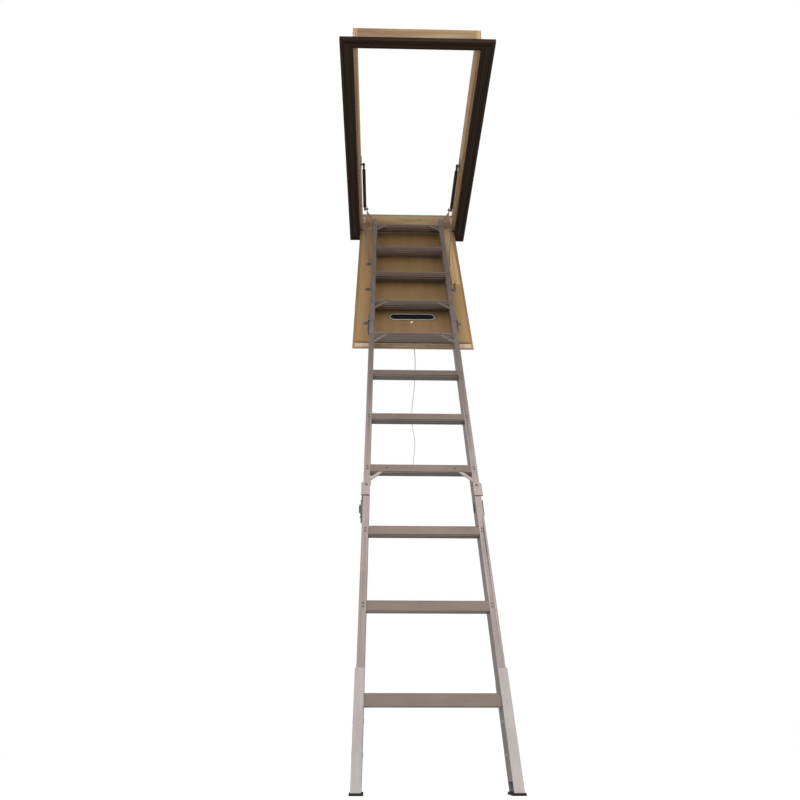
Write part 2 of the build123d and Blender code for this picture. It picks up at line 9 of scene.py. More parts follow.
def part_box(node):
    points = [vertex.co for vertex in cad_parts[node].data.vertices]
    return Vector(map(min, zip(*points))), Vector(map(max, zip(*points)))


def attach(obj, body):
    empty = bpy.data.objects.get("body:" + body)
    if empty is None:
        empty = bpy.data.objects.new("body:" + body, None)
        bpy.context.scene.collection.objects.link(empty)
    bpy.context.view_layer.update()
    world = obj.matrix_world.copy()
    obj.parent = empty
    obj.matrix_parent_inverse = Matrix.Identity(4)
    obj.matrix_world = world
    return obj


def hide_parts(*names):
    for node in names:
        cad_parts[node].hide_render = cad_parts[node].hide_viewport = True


# Folding attic ladder in its ceiling hatch: materials, small hardware, cord, studio and camera.
# Lengths are in metres, except places in "ladder space", which are in millimetres: across,
# down the ladder from the door's hinge, and height above the door's panel.

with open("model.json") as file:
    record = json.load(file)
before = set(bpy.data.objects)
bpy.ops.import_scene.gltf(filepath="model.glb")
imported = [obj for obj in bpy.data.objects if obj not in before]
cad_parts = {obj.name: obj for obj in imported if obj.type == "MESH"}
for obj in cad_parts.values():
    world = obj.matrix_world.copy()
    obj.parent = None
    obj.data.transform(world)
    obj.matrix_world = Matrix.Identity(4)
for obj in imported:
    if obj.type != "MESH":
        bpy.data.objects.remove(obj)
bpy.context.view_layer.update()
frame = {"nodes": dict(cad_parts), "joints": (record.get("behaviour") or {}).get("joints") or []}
nodes = frame["nodes"]
joints = {joint["name"]: joint for joint in frame["joints"]}
HINGE = Vector(joints["door_hinge"]["pos_m"])
CORD_EXIT = Vector(joints["cord_swing"]["pos_m"])
SLOPE = math.radians(58.9)
LADDER = Matrix.Translation(HINGE) @ Matrix.Rotation(SLOPE, 4, "X")
MM = 0.001


def on_ladder(across, down, height):
    """A place in ladder space, given in millimetres."""
    return LADDER @ Vector((across * MM, -down * MM, height * MM))


# ---------------------------------------------------------------- material helpers


class Graph:
    """A short way to write a node material."""

    def __init__(self, name):
        self.material = bpy.data.materials.new(name)
        self.material.use_nodes = True
        self.tree = self.material.node_tree
        self.shader = self.tree.nodes["Principled BSDF"]

    def node(self, kind, **inputs):
        made = self.tree.nodes.new(kind)
        for key, value in inputs.items():
            socket = made.inputs[key.replace("_", " ")]
            if isinstance(value, bpy.types.NodeSocket):
                self.tree.links.new(value, socket)
            else:
                socket.default_value = value
        return made

    def link(self, source, target):
        self.tree.links.new(source, target)

    def place(self, scale, turn=0.0):
        """Object coordinates, turned about X and then stretched."""
        coordinates = self.node("ShaderNodeTexCoord").outputs["Object"]
        turned = self.node("ShaderNodeMapping", Vector=coordinates, Rotation=(-turn, 0, 0))
        return self.node("ShaderNodeMapping", Vector=turned.outputs[0], Scale=scale).outputs[0]

    def noise(self, vector, scale, detail=4.0, roughness=0.55, distortion=0.0):
        made = self.node("ShaderNodeTexNoise", Vector=vector, Scale=scale, Detail=detail)
        made.inputs["Roughness"].default_value = roughness
        made.inputs["Distortion"].default_value = distortion
        return made.outputs["Fac"]

    def ramp(self, factor, *stops):
        made = self.node("ShaderNodeValToRGB", Fac=factor)
        stretch = made.color_ramp.elements
        while len(stretch) < len(stops):
            stretch.new(0.5)
        for element, (place, colour) in zip(stretch, stops):
            element.position = place
            element.color = (*colour, 1.0)
        return made.outputs["Color"]

    def mix(self, factor, a, b, blend="MIX"):
        made = self.tree.nodes.new("ShaderNodeMix")
        made.data_type = "RGBA"
        made.blend_type = blend
        for socket, value in ((made.inputs[0], factor), (made.inputs[6], a), (made.inputs[7], b)):
            if isinstance(value, bpy.types.NodeSocket):
                self.tree.links.new(value, socket)
            else:
                socket.default_value = value if isinstance(value, float) else (*value, 1.0)
        return made.outputs[2]

    def between(self, factor, low, high):
        made = self.node("ShaderNodeMapRange", Value=factor)
        made.inputs["To Min"].default_value = low
        made.inputs["To Max"].default_value = high
        return made.outputs[0]

    def band(self, value, start, end):
        """0 before the start, 1 after the end, smooth between."""
        made = self.node("ShaderNodeMapRange", Value=value)
        made.interpolation_type = "SMOOTHSTEP"
        made.inputs["From Min"].default_value = start
        made.inputs["From Max"].default_value = end
        return made.outputs[0]

    def tint(self, colour, factor):
        return self.mix(1.0, colour, (factor, factor, factor), "MULTIPLY")

    def bump(self, height, depth, strength):
        made = self.node("ShaderNodeBump", Height=height, Distance=depth, Strength=strength)
        self.link(made.outputs[0], self.shader.inputs["Normal"])

    def set(self, **values):
        for key, value in values.items():
            socket = self.shader.inputs[key.replace("_", " ")]
            if isinstance(value, bpy.types.NodeSocket):
                self.link(value, socket)
            else:
                socket.default_value = (*value, 1.0) if isinstance(value, tuple) else value
        return self


def shade(colour, factor):
    return tuple(c * factor for c in colour)


def aluminium(name, colour, roughness, stretch, turn=SLOPE):
    """Mill-finish extrusion: fine die lines along its length, soft stains and small scratches."""
    g = Graph(name)
    lines = g.noise(g.place(stretch, turn), 1.0, 3.0, 0.6)
    stain = g.noise(g.place((1, 1, 1), turn), 9.0, 5.0, 0.6)
    speck = g.noise(g.place((1, 1, 1), turn), 420.0, 2.0, 0.5)
    base = g.ramp(stain, (0.3, shade(colour, 0.86)), (0.5, colour), (0.72, shade(colour, 1.1)))
    base = g.mix(g.between(lines, -0.2, 0.9), base, shade(colour, 0.68))
    base = g.mix(g.between(speck, 0.0, 0.16), base, shade(colour, 0.6))
    g.set(Base_Color=base, Metallic=0.85)
    g.set(Roughness=g.between(lines, roughness - 0.08, roughness + 0.1))
    g.bump(lines, 0.00012, 0.6)
    return g.material


def wood(name, light, dark, along, turn=0.0, figure=5.0, roughness=0.5, pores=0.35, shine=0.5):
    """Sawn or veneered wood. along is the stretch of the grain on each axis; small means long."""
    g = Graph(name)
    flow = g.place(along, turn)
    broad = g.noise(flow, figure, 3.0, 0.5, 0.8)
    rings = g.node("ShaderNodeTexWave", Vector=flow, Scale=figure * 0.9, Distortion=6.0, Detail=3.0)
    rings.bands_direction = "X" if along[0] > 0.5 else "Y"
    fibre = g.noise(flow, figure * 22, 4.0, 0.7)
    tone = g.mix(0.45, broad, rings.outputs["Fac"])
    base = g.ramp(tone, (0.25, dark), (0.5, shade(light, 0.86)), (0.8, light))
    base = g.mix(g.between(fibre, -0.25, pores), base, shade(dark, 0.62))
    patch = g.noise(g.place((1, 1, 1), turn), 3.0, 2.0)
    base = g.mix(g.between(patch, 0.0, 0.35), base, shade(light, 0.72))
    g.set(Base_Color=base, Roughness=g.between(fibre, roughness - 0.1, roughness + 0.15))
    g.set(Specular_IOR_Level=shine)
    g.bump(fibre, 0.0003, 0.5)
    return g.material


# Where the door's painted shade between the rails turns to its painted light beside them, off the
# middle
RAIL_SHADE_EDGE = (0.15, 0.215)


def veneer(name, colour, coat, rail_shade=(1.0, 1.0)):
    """Smooth varnished plywood. Its last argument tints it darker between the ladder's rails and
    lighter beside them: painted shade and painted light.
    """
    g = Graph(name)
    flow = g.place((1.0, 0.05, 1.0), SLOPE)
    figure = g.noise(flow, 34.0, 4.0, 0.6, 0.4)
    fibre = g.noise(flow, 520.0, 4.0, 0.7)
    cloud = g.noise(g.place((1, 1, 1), SLOPE), 4.0, 3.0)
    base = g.ramp(figure, (0.3, shade(colour, 0.82)), (0.52, colour), (0.75, shade(colour, 1.14)))
    base = g.mix(g.between(fibre, -0.1, 0.4), base, shade(colour, 0.66))
    base = g.mix(g.between(cloud, 0.0, 0.3), base, shade(colour, 0.74))
    # Painted shade between the rails and painted light beside them, by distance from the middle
    place = g.node("ShaderNodeSeparateXYZ", Vector=g.place((1, 1, 1), SLOPE))
    aside = g.node("ShaderNodeMath", Value=place.outputs["X"])
    aside.operation = "ABSOLUTE"
    beside = g.band(aside.outputs[0], *RAIL_SHADE_EDGE)
    base = g.mix(beside, g.tint(base, rail_shade[0]), g.tint(base, rail_shade[1]))
    g.set(Base_Color=base, Roughness=g.between(fibre, 0.36, 0.5), Coat_Weight=coat, Coat_Roughness=0.12)
    g.bump(fibre, 0.00015, 0.4)
    return g.material


def painted(name, colour, roughness, grain=260.0, depth=0.00006, coat=0.0, metallic=0.0):
    """Paint, plastic or rubber with a fine grain and faint dust."""
    g = Graph(name)
    fine = g.noise(g.place((1, 1, 1)), grain, 3.0)
    dust = g.noise(g.place((1, 1, 1)), 14.0, 5.0, 0.65)
    base = g.ramp(dust, (0.35, colour), (0.75, tuple(c * 1.15 + 0.004 for c in colour)))
    g.set(Base_Color=base, Metallic=metallic, Coat_Weight=coat)
    g.set(Roughness=g.between(dust, roughness, roughness + 0.12))
    g.bump(fine, depth, 0.5)
    return g.material


def zinc(name, colour, roughness=0.34):
    """Zinc-plated steel: small crystals in slightly different greys."""
    g = Graph(name)
    cells = g.node("ShaderNodeTexVoronoi", Vector=g.place((1, 1, 1)), Scale=260.0)
    stain = g.noise(g.place((1, 1, 1)), 30.0, 4.0)
    base = g.mix(g.between(stain, 0.1, 0.7), colour, shade(colour, 0.6))
    base = g.mix(0.12, base, cells.outputs["Color"])
    g.set(Base_Color=base, Metallic=0.9, Roughness=g.between(stain, roughness - 0.08, roughness + 0.14))
    g.bump(stain, 0.00008, 0.4)
    return g.material


def rope(name, colour):
    """Twisted white cord, with painted shade in the grooves between its strands."""
    g = Graph(name)
    strands = g.node("ShaderNodeTexWave", Vector=g.place((1, 1, 1)), Scale=150.0, Distortion=1.2)
    strands.bands_direction = "DIAGONAL"
    fuzz = g.noise(g.place((1, 1, 1)), 900.0, 2.0)
    # Darker bands: painted shade in the grooves between the strands
    base = g.mix(g.between(strands.outputs["Fac"], 0.5, 0.0), colour, shade(colour, 0.68))
    base = g.mix(g.between(fuzz, 0.0, 0.25), base, shade(colour, 0.8))
    g.set(Base_Color=base, Roughness=0.88, Sheen_Weight=0.15)
    g.bump(strands.outputs["Fac"], 0.0004, 0.8)
    return g.material


# How fine a metal's die lines are on each axis: coarse along the part, fine across it
LINES_ACROSS = (6.0, 900.0, 900.0)
LINES_DOWN = (900.0, 6.0, 900.0)
LINES_SKEW = (40.0, 900.0, 900.0)

STEP = aluminium("step_aluminium", (0.30, 0.25, 0.22), 0.44, LINES_ACROSS)
# A paler copy of the steps' aluminium: painted highlight on the ribs under the steps
STEP_RIB_HIGHLIGHT = aluminium("step_rib_painted_highlight", (0.42, 0.365, 0.335), 0.42, LINES_ACROSS)
RAIL = aluminium("rail_aluminium", (0.46, 0.40, 0.38), 0.4, LINES_DOWN)
SLEEVE = aluminium("sleeve_aluminium", (0.60, 0.565, 0.555), 0.46, LINES_DOWN)
COVER = aluminium("cover_aluminium", (0.50, 0.445, 0.43), 0.44, LINES_DOWN)
BRACE = aluminium("brace_aluminium", (0.50, 0.45, 0.41), 0.38, LINES_SKEW, 0.0)
# Door face: painted shade between the rails (0.78), painted light beside them (1.38)
DOOR_FACE = veneer("door_veneer_rail_shade", (0.36, 0.222, 0.098), 0.5, (0.78, 1.38))
DOOR_BACK = veneer("door_panel_wood", (0.42, 0.27, 0.13), 0.3)
OAK_TONES = ((0.86, 0.60, 0.32), (0.20, 0.10, 0.04))
DOOR_STRIP = wood("door_strip_oak", *OAK_TONES, (1.0, 0.03, 1.0), SLOPE, 60.0, pores=0.2)
END_STRIP = veneer("door_end_strip_wood", (0.74, 0.59, 0.42), 0.2)
# One pine in two tones: the side boards lighter as painted light, the end boards darker as painted
# shade
SIDE_BOARD_LIT_TONES = ((0.60, 0.40, 0.21), (0.32, 0.19, 0.09))
END_BOARD_SHADED_TONES = ((0.44, 0.30, 0.16), (0.23, 0.135, 0.06))
PINE_LONG = wood("pine_side_boards_lit", *SIDE_BOARD_LIT_TONES, (1.0, 0.06, 1.0), 0.0, 30.0, 0.6)
PINE_END = wood("pine_end_boards_shaded", *END_BOARD_SHADED_TONES, (0.06, 1.0, 1.0), 0.0, 30.0, 0.6)
TRIM_TONES = ((0.042, 0.026, 0.018), (0.020, 0.012, 0.0085))
TRIM_LONG = wood("dark_trim_sides", *TRIM_TONES, (1.0, 0.05, 1.0), 0.0, 26.0, 0.6, shine=0.15)
TRIM_END = wood("dark_trim_ends", *TRIM_TONES, (0.05, 1.0, 1.0), 0.0, 26.0, 0.7, shine=0.05)
ZINC = zinc("zinc_plate", (0.52, 0.52, 0.53))
# Near-white: painted highlight on the upstands' end clips
CLIP_HIGHLIGHT = painted("clip_painted_highlight", (0.80, 0.80, 0.79), 0.3, metallic=0.3)
DULL_ZINC = zinc("dull_zinc", (0.24, 0.24, 0.24), 0.42)
BLUE_ZINC = zinc("blue_zinc", (0.13, 0.17, 0.24))
BRONZED = zinc("bronzed_steel", (0.42, 0.30, 0.20), 0.42)
DARK_ZINC = zinc("worn_bolt", (0.16, 0.15, 0.15))
RIVET = zinc("rivet_steel", (0.16, 0.145, 0.14))
STRUT_BLACK = painted("strut_black", (0.008, 0.008, 0.009), 0.3, 240.0, 0.00004, 0.2)
RUBBER = painted("shoe_rubber", (0.006, 0.0055, 0.0055), 0.75, 380.0, 0.0002)
PLATE = painted("plate_black", (0.010, 0.009, 0.009), 0.3, 300.0, 0.00002, 0.3)
WHITE = painted("white_ink", (0.72, 0.70, 0.67), 0.45)
TAPE = painted("tape_teal", (0.035, 0.21, 0.25), 0.5)
GROMMET = painted("grommet_plastic", (0.68, 0.55, 0.48), 0.4)
KNOB = painted("knob_plastic", (0.72, 0.68, 0.6), 0.4)
CORD = rope("cord_cotton", (0.74, 0.66, 0.57))
# Dark nail heads; the same dark also paints shadow at the door's lower end and at the lower fold
NAIL_AND_SHADOW = painted("nail_head_and_shadow", (0.07, 0.045, 0.03), 0.55, metallic=0.4)

# ---------------------------------------------------------------- CAD nodes

FINISH = {
    STEP: [f"step_{k:02d}" for k in range(1, 12)],
    RAIL: [f"{part}_rail_{side}" for part in ("upper", "middle", "lower")
           for side in ("left", "right")],
    SLEEVE: ["foot_sleeve_left", "foot_sleeve_right", "foot_bolts"],
    BRACE: ["upper_knee_braces", "middle_knee_braces"],
    DOOR_FACE: ["door_core"],
    DOOR_BACK: ["door_panel"],
    PINE_LONG: ["frame_board_left", "frame_board_right"],
    PINE_END: ["frame_board_hinge_end", "frame_board_near_end"],
    TRIM_LONG: ["trim_left", "trim_right"],
    TRIM_END: ["trim_hinge_end", "trim_near_end"],
    ZINC: ["top_brackets", "stay_rods", "door_hinge_frame_leaf", "door_hinge_door_leaf",
           "door_hinge_pin", "frame_screws"],
    DULL_ZINC: ["door_brackets", "lower_fold_top_leaves", "lower_fold_bottom_leaves"],
    BLUE_ZINC: ["strut_brackets", "upper_fold_bottom_leaves", "upper_fold_top_leaves"],
    BRONZED: ["strut_levers"],
    DARK_ZINC: ["fold_pins"],
    RIVET: ["upper_rivets", "middle_rivets", "lower_rivets"],
    STRUT_BLACK: ["strut_tube_left", "strut_tube_right", "strut_rod_left", "strut_rod_right"],
    RUBBER: ["foot_shoe_left", "foot_shoe_right"],
    PLATE: ["name_plate"],
    TAPE: ["frame_edge_tape"],
    GROMMET: ["cord_grommet"],
    KNOB: ["cord_knob"],
    CORD: ["pull_cord"],
}
# Bevel width of the nodes whose names start with these words
SOFT_EDGES = {
    "trim": 0.0012, "frame_board_hinge_end": 0.0008, "frame_board_near_end": 0.0008,
    "door_panel": 0.0012, "door_core": 0.001, "step": 0.0006,
    "upper_rail": 0.0007, "middle_rail": 0.0007, "lower_rail": 0.0007, "foot_sleeve": 0.0009,
    "foot_shoe": 0.0012, "name_plate": 0.0004, "strut_levers": 0.0006, "door_brackets": 0.0005,
    "top_brackets": 0.0005, "upper_fold": 0.0005, "lower_fold": 0.0005,
}


def soften(obj, width):
    """Rounded edges that catch the light."""
    weld = obj.modifiers.new("weld", "WELD")
    weld.merge_threshold = 0.00001
    bevel = obj.modifiers.new("soft_edges", "BEVEL")
    bevel.width = width
    bevel.segments = 2
    bevel.limit_method = "ANGLE"
    bevel.angle_limit = math.radians(40)
    bevel.harden_normals = True


for material, names in FINISH.items():
    for name in names:
        mesh = nodes[name].data
        mesh.materials.clear()
        mesh.materials.append(material)
        for start, width in SOFT_EDGES.items():
            if name.startswith(start):
                soften(nodes[name], width)

# ---------------------------------------------------------------- ways to make a piece


def piece(name, mesh, body, material):
    """A new piece on a CAD body."""
    mesh.materials.append(material)
    obj = bpy.data.objects.new(name, mesh)
    bpy.context.scene.collection.objects.link(obj)
    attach(obj, body)
    return obj


def mesh_of(bm, name, smooth=True):
    bmesh.ops.recalc_face_normals(bm, faces=bm.faces)
    mesh = bpy.data.meshes.new(name)
    bm.to_mesh(mesh)
    bm.free()
    if smooth:
        mesh.polygons.foreach_set("use_smooth", [True] * len(mesh.polygons))
    return mesh


def lathe(bm, profile, matrix, segments=20):
    """A turned shape: profile is (radius, height) pairs along the matrix's Z."""
    rings = []
    for radius, height in profile:
        ring = []
        for k in range(segments):
            angle = 2 * math.pi * k / segments
            point = Vector((radius * math.cos(angle), radius * math.sin(angle), height))
            ring.append(bm.verts.new(matrix @ point))
        rings.append(ring)
    for low, high in zip(rings, rings[1:]):
        for k in range(segments):
            bm.faces.new((low[k], low[(k + 1) % segments], high[(k + 1) % segments], high[k]))
    bm.faces.new(list(reversed(rings[0])))
    bm.faces.new(rings[-1])


def facing(place, normal):
    """A matrix at a place whose Z looks along a direction."""
    return Matrix.Translation(place) @ Vector(normal).to_track_quat("Z", "Y").to_matrix().to_4x4()


# Outlines of fasteners, as (radius, height) in units of the head's radius
PAN_HEAD = (
    (1.0, 0.0), (1.0, 0.12), (0.93, 0.3), (0.76, 0.44), (0.5, 0.52), (0.22, 0.54), (0.18, 0.3),
)
WASHER = ((1.35, 0.0), (1.35, 0.14), (1.25, 0.2))
NUT = ((1.0, 0.2), (1.0, 0.82), (0.86, 0.95), (0.4, 0.95))


def pan_heads(name, body, places, radius, material):
    """Screw or bolt heads; places are (point, outward direction) pairs."""
    bm = bmesh.new()
    profile = [(radius * r, radius * h) for r, h in PAN_HEAD]
    for point, normal in places:
        lathe(bm, profile, facing(point, normal))
    piece(name, mesh_of(bm, name), body, material)


def hex_heads(name, body, places, radius, material):
    """Hexagonal nuts with a washer under each."""
    bm = bmesh.new()
    washer = [(radius * r, radius * h) for r, h in WASHER]
    nut = [(radius * r, radius * h) for r, h in NUT]
    for point, normal in places:
        at = facing(point, normal)
        lathe(bm, washer, at, 24)
        lathe(bm, nut, at, 6)
    piece(name, mesh_of(bm, name, False), body, material)


def bars(name, body, boxes, material):
    """Boxes with rounded edges; boxes are (matrix at the middle, size, rounding) in millimetres."""
    bm = bmesh.new()
    for matrix, size, rounding in boxes:
        scale = Matrix.Diagonal((*(v * MM for v in size), 1.0))
        made = bmesh.ops.create_cube(bm, size=1.0, matrix=matrix @ scale)
        edges = list({edge for vert in made["verts"] for edge in vert.link_edges})
        bmesh.ops.bevel(
            bm, geom=edges, offset=rounding * MM, segments=2, affect="EDGES", profile=0.6)
    piece(name, mesh_of(bm, name, False), body, material)


# ---------------------------------------------------------------- small pieces

UP = LADDER.to_3x3() @ Vector((0, 0, 1))
SIDES = (-1, 1)
# How far a nail head stands off its board, in metres
PROUD = 0.00005

# Places in ladder space, in millimetres
STEP_PITCH = 304.8
TOP_STEP = 92.7
STEPS = {k: TOP_STEP + STEP_PITCH * (11 - k) for k in range(1, 12)}
SECTION_OF = {k: "lower_section" if k < 4 else "middle_section" if k < 8 else "door" for k in STEPS}
STEP_LENGTH = 349.6
RAIL_FACE = 79.0
RAIL_MIDDLE = 189.3
BRACKET_FOOT = 18.1
DOOR_BRACKETS = (488, 778, 1120)
LEVER_PLACE = 45
UPPER_FOLD = 1200.7
LOWER_FOLD = 2387
# Outer faces of the sheet on the rails' webs: one sheet thick, and where two of them lap
SHEET_FACE = 200.6
LAP_FACE = 203.9


def on_face(across, down, height):
    """A matrix in ladder space, for a piece that lies along the door or the rails."""
    return LADDER @ Matrix.Translation((across * MM, -down * MM, height * MM))


def blank_plate_rim():
    """White line round the blank name plate."""
    length, end_radius = 225, 31
    across, down, face = 2, 1056, 16.4
    outer, inner, thickness = 3.0, 6.5, 0.35
    bm = bmesh.new()
    loops = []
    for inset, height in ((outer, 0.0), (outer, thickness), (inner, thickness), (inner, 0.0)):
        loop = []
        radius = end_radius - inset
        for sign in (1, -1):
            for k in range(17):
                angle = -math.pi / 2 + math.pi * k / 16
                x = sign * (length / 2 - end_radius + radius * math.cos(angle))
                y = sign * radius * math.sin(angle)
                loop.append(bm.verts.new(on_ladder(across + x, down - y, face + height)))
        loops.append(loop)
    for a, b in zip(loops, loops[1:]):
        for k in range(len(a)):
            bm.faces.new((a[k], a[(k + 1) % len(a)], b[(k + 1) % len(a)], b[k]))
    piece("name_plate_rim", mesh_of(bm, "name_plate_rim"), "door", WHITE)


def door_strips():
    """An oak batten beside the right rail with its end clip, a dark bar as painted shadow under the
    door core's lower edge, and a pale strip across the door's lower end."""
    lean = Matrix.Rotation(math.radians(1.1), 4, "Z")
    batten = (on_face(229, 366, 18) @ lean, (44, 690, 6.2), 1.0)
    bars("door_side_batten", "door", [batten], DOOR_STRIP)
    tongue = (on_face(229, 735, 19.5), (4, 70, 8), 1.0)
    hook = (on_face(222, 776, 17.5), (16, 24, 5), 1.0)
    bars("door_batten_clip", "door", [tongue, hook], ZINC)
    strip_length = 526
    # Dark bar: painted shadow under the door core's lower edge
    core_edge_shadow = (on_face(0, 1271.5, 0.9), (strip_length, 5, 1.7), 0.4)
    bars("door_end_core_shadow", "door", [core_edge_shadow], NAIL_AND_SHADOW)
    strip = (on_face(0, 1290, 0.8), (strip_length, 32, 1.5), 0.4)
    bars("door_end_strip", "door", [strip], END_STRIP)


def step_beads():
    """A rounded bead along each step's front top edge."""
    edge, half_width, rise, sunk = 2.4, 2.0, 1.1, 0.1
    angles = [math.pi * k / 6 for k in range(7)]
    for number, down in STEPS.items():
        bm = bmesh.new()
        ends = []
        for x in (-STEP_LENGTH / 2, STEP_LENGTH / 2):
            end = []
            for angle in angles:
                along = down + edge + math.cos(angle) * half_width
                height = RAIL_FACE - sunk + math.sin(angle) * rise
                end.append(bm.verts.new(on_ladder(x, along, height)))
            ends.append(end)
        for k in range(6):
            bm.faces.new((ends[0][k], ends[0][k + 1], ends[1][k + 1], ends[1][k]))
        name = f"step_bead_{number:02d}"
        piece(name, mesh_of(bm, name), SECTION_OF[number], STEP)


def step_underside_ribs():
    """Two ribs along the underside of each step, between its narrow grip ribs, in a paler copy of the
    step's aluminium as painted highlight.
    """
    drop = -32.6 * MM
    for number, down in STEPS.items():
        level = on_face(0, down, RAIL_FACE) @ Matrix.Rotation(-SLOPE, 4, "X")
        ribs = []
        for depth in (-10.6, 7.9):
            at = level @ Matrix.Translation((0, depth * MM, drop))
            ribs.append((at, (STEP_LENGTH, 5.0, 2.4), 0.8))
        bars(f"step_ribs_{number:02d}", SECTION_OF[number], ribs, STEP_RIB_HIGHLIGHT)


def bracket_screws():
    """Bolts through the door brackets' ears, and screws through their feet and the top brackets'."""
    ears = [(on_ladder(s * SHEET_FACE, down, 40), (s, 0, 0)) for s in SIDES for down in DOOR_BRACKETS]
    feet = [(on_ladder(s * 223.5, down + apart, BRACKET_FOOT), UP)
            for s in SIDES for down in DOOR_BRACKETS for apart in (-6, 6)]
    pan_heads("bracket_bolts", "door", ears, 0.0052, DARK_ZINC)
    pan_heads("bracket_screws", "door", feet, 0.0032, ZINC)
    tops = [(on_ladder(s * x, 57, BRACKET_FOOT), UP) for s in SIDES for x in (210, 226, 240)]
    pan_heads("top_bracket_screws", "door", tops, 0.0036, ZINC)


def upstand_caps():
    """End clips on the upstands at the door's top corners, near-white as painted highlight."""
    caps = [(on_face(sign * 248.2, 40, 81), (9, 22, 26), 1.5) for sign in SIDES]
    bars("upstand_caps", "door", caps, CLIP_HIGHLIGHT)


def lever_bolts():
    """Two bolts at each strut lever's foot, and the nut on its stud."""
    foot_height, stud_height = 58, 148
    feet = [(on_ladder(s * 202.6, LEVER_PLACE + apart, foot_height), (s, 0, 0))
            for s in SIDES for apart in (-6, 6)]
    hex_heads("strut_lever_bolts", "door", feet, 0.0042, DARK_ZINC)
    studs = [(on_ladder(s * 231.2, LEVER_PLACE, stud_height), (-s, 0, 0)) for s in SIDES]
    hex_heads("strut_lever_nuts", "door", studs, 0.0062, DARK_ZINC)


def leaf_rivets(face, fold, way, heights):
    """Places of the rivets through a pair of fold leaves, above the fold (-1) or below it (1)."""
    return [(on_ladder(s * face, fold + way * off, height), (s, 0, 0))
            for s in SIDES for off in (22, 52) for height in heights]


def fold_hinge_rivets():
    """Rivets through the fold hinges' leaves."""
    upper, lower = (50, 66), (30, 48)
    places = leaf_rivets(SHEET_FACE, UPPER_FOLD, -1, upper)
    pan_heads("upper_fold_top_rivets", "door", places, 0.004, DARK_ZINC)
    places = leaf_rivets(LAP_FACE, UPPER_FOLD, 1, upper)
    places += leaf_rivets(SHEET_FACE, LOWER_FOLD, -1, lower)
    pan_heads("middle_fold_rivets", "middle_section", places, 0.004, DARK_ZINC)
    places = leaf_rivets(LAP_FACE, LOWER_FOLD, 1, lower)
    pan_heads("lower_fold_rivets", "lower_section", places, 0.004, DARK_ZINC)


def frame_nails():
    """Nail heads on the hinge end board and the near end board."""
    below_top = 0.03
    low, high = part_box("frame_board_hinge_end")
    face = low[1] - PROUD
    places = [(Vector((x, face, high[2] - below_top)), (0, -1, 0)) for x in (-0.164, 0.072)]
    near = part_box("frame_board_near_end")[1][1] + PROUD
    places += [(Vector((x, near, high[2] - below_top)), (0, 1, 0)) for x in (-0.18, 0.0, 0.18)]
    pan_heads("board_nails", "hatch_frame", places, 0.003, NAIL_AND_SHADOW)


def strut_bracket_screws():
    """Three screws along the top of each strut bracket."""
    below_top, bracket_thickness, spacing = 0.009, 0.003, 0.022
    low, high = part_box("strut_brackets")
    middle = (low[1] + high[1]) / 2
    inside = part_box("frame_board_right")[0][0] - bracket_thickness
    places = []
    for sign in SIDES:
        for y in (middle - spacing, middle, middle + spacing):
            places.append((Vector((sign * inside, y, high[2] - below_top)), (-sign, 0, 0)))
    pan_heads("strut_bracket_screws", "hatch_frame", places, 0.0042, DARK_ZINC)


# Outlines on a gas strut, as (radius, height)
COLLAR = ((0.0044, 0), (0.0066, 0.0), (0.0078, 0.0016), (0.0078, 0.0052), (0.0044, 0.0052))
TUBE_BAND = ((0.0091, 0), (0.0096, 0.001), (0.0096, 0.005), (0.0091, 0.006))
EYE_BAND = ((0.0086, -0.0006), (0.009, -0.0002), (0.009, 0.0002), (0.0086, 0.0006))


def strut_collars():
    """A turned collar and a band on each tube, and three thin bands round each rod's eye."""
    collar_place, band_place, eye_spacing = 0.0385, 0.348, 0.0028
    for side in ("left", "right"):
        pivot = Vector(joints[f"strut_{side}_pivot"]["pos_m"])
        along = Vector(joints[f"strut_{side}_stroke"]["axis"])
        bm = bmesh.new()
        lathe(bm, COLLAR, facing(pivot + along * collar_place, along), 28)
        lathe(bm, TUBE_BAND, facing(pivot + along * band_place, along), 28)
        name = f"strut_collar_{side}"
        piece(name, mesh_of(bm, name), f"strut_tube_{side}", STRUT_BLACK)
        bm = bmesh.new()
        for k in (-1, 0, 1):
            ring = facing(pivot + Vector((k * eye_spacing, 0, 0)), (1, 0, 0))
            lathe(bm, EYE_BAND, ring, 24)
        name = f"strut_eye_bands_{side}"
        piece(name, mesh_of(bm, name), f"strut_rod_{side}", STRUT_BLACK)


def hinge_screws():
    """Screws in the long hinge's door leaf."""
    places = [(on_ladder(x, 10, 2), UP) for x in range(-225, 226, 75)]
    pan_heads("door_hinge_screws", "door", places, 0.0024, ZINC)


# The knob's outline below the cord's end, as (radius, height)
KNOB_OUTLINE = (
    (0.0018, 0.0006), (0.0034, 0.0), (0.0046, -0.002), (0.0054, -0.0052),
    (0.0055, -0.0075), (0.0045, -0.0098), (0.0024, -0.0109), (0.0008, -0.0111),
)


